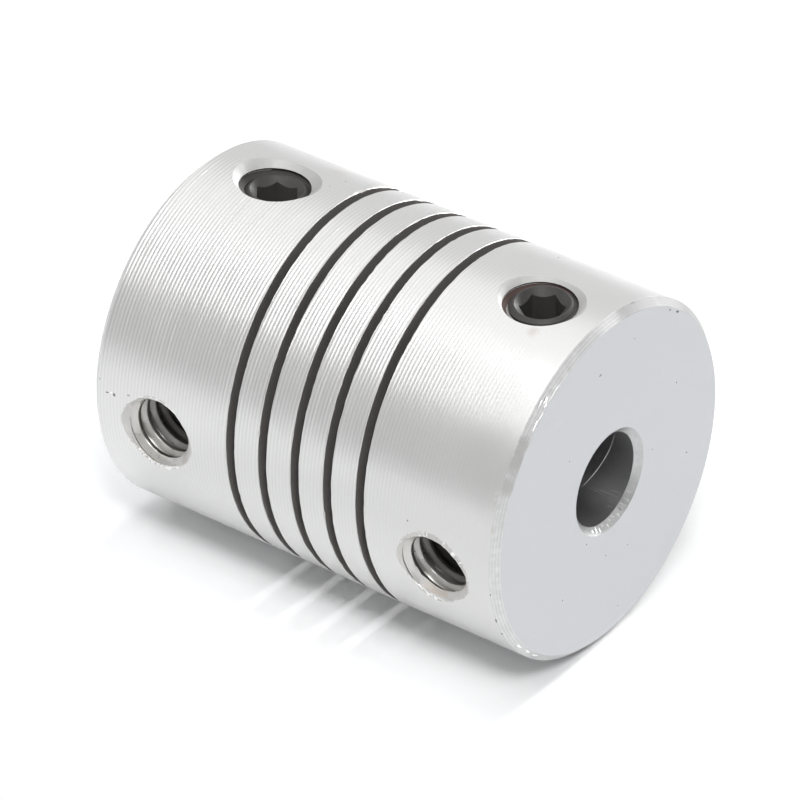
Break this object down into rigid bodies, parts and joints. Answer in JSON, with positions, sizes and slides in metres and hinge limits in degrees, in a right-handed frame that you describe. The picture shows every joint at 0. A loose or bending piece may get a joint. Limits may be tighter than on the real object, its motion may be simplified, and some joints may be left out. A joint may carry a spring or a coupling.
{
  "type": "flexible shaft coupling",
  "caption": "One-piece helical beam coupling that joins two round shafts end to end, with cup-point set screws at right angles to the bore in each hub.",
  "frame": {"origin": "centre of the lower hub's end face, where the coupling stands", "axes": "+Z along the shaft axis towards the upper hub, +X midway between the two screw holes of the lower hub"},
  "size_m": [0.019, 0.019, 0.025],
  "materials": {
    "aluminium_body": "fine turned satin with a clear anodised look",
    "black_screws": "black oxide, slightly oily"
  },
  "bodies": {
    "root": {"coupling_body": "aluminium_body", "upper_set_screw_1": "black_screws", "upper_set_screw_2": "black_screws", "lower_set_screw_1": "black_screws", "lower_set_screw_2": "black_screws"}
  },
  "joints": []
}
